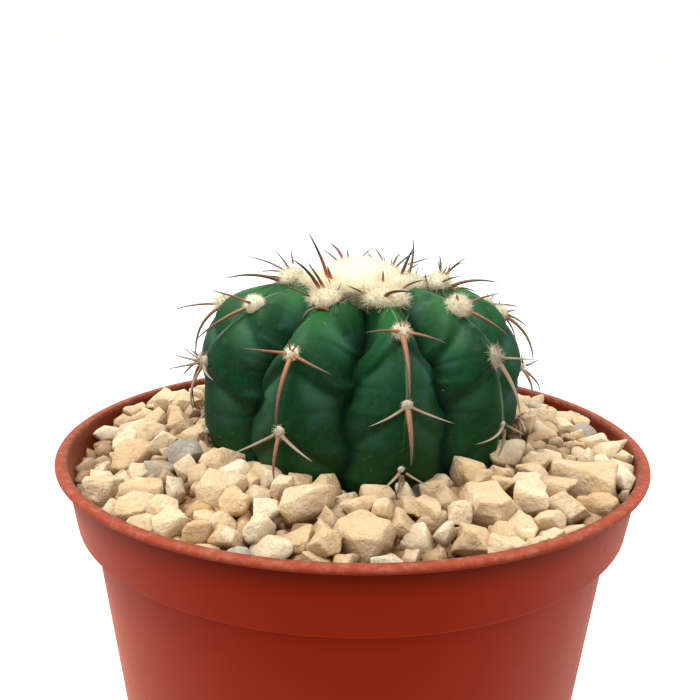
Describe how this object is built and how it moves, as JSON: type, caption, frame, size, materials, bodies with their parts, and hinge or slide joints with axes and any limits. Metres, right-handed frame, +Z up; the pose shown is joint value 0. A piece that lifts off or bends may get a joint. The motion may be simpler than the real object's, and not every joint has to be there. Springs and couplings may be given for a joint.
{
  "type": "potted round cactus",
  "caption": "Squat ribbed cactus with curved spines and a woolly crown, in a round plastic nursery pot topped with crushed stone.",
  "frame": {"origin": "on the pot's axis, on the level surface that the pot stands on", "axes": "+Z up along the pot's axis; -Y is the front, where the picture was taken from; +X is to the right seen from there"},
  "size_m": [0.13, 0.13, 0.1577],
  "materials": {
    "pot": "satin terracotta-red moulded polypropylene",
    "soil": "dull dark crumbly potting mix",
    "gravel": "dull cream crushed stone with ochre and grey pieces",
    "cactus": "smooth glossy dark green skin with pinkish brown spines",
    "crown_wool": "soft cream plant wool"
  },
  "bodies": {
    "root": {"pot": "pot", "soil": "soil", "gravel": "gravel", "cactus": "cactus", "crown_wool": "crown_wool"}
  },
  "joints": []
}
